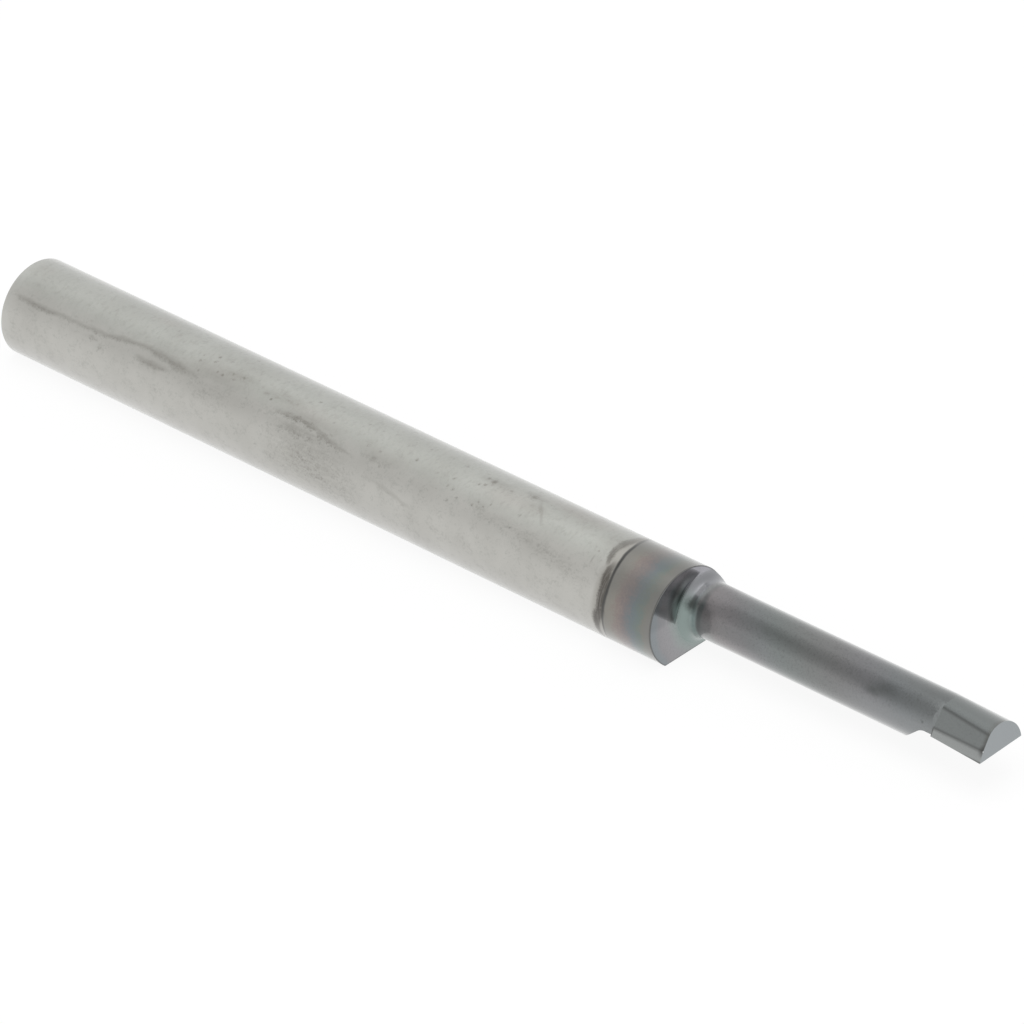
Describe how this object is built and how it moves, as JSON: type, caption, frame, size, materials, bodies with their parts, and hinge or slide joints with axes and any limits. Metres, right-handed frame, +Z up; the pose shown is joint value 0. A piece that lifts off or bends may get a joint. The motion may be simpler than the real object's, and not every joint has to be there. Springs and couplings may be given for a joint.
{
  "type": "boring bar",
  "caption": "Solid carbide boring bar with a round shank, a full-length locating flat, a slim off-centre neck and a single ground cutting corner.",
  "frame": {"origin": "under the middle of the bar's length, on the plane of the locating flat and under the shank's axis", "axes": "+X along the bar towards the cutting end, +Z up from the locating flat, the cutting corner stands out towards -Y"},
  "size_m": [0.1, 0.008, 0.007],
  "materials": {
    "carbide": "ground tungsten carbide, satin grey shank, thin dark interference-coloured coating on the front"
  },
  "bodies": {
    "root": {"boring_bar": "carbide"}
  },
  "joints": []
}
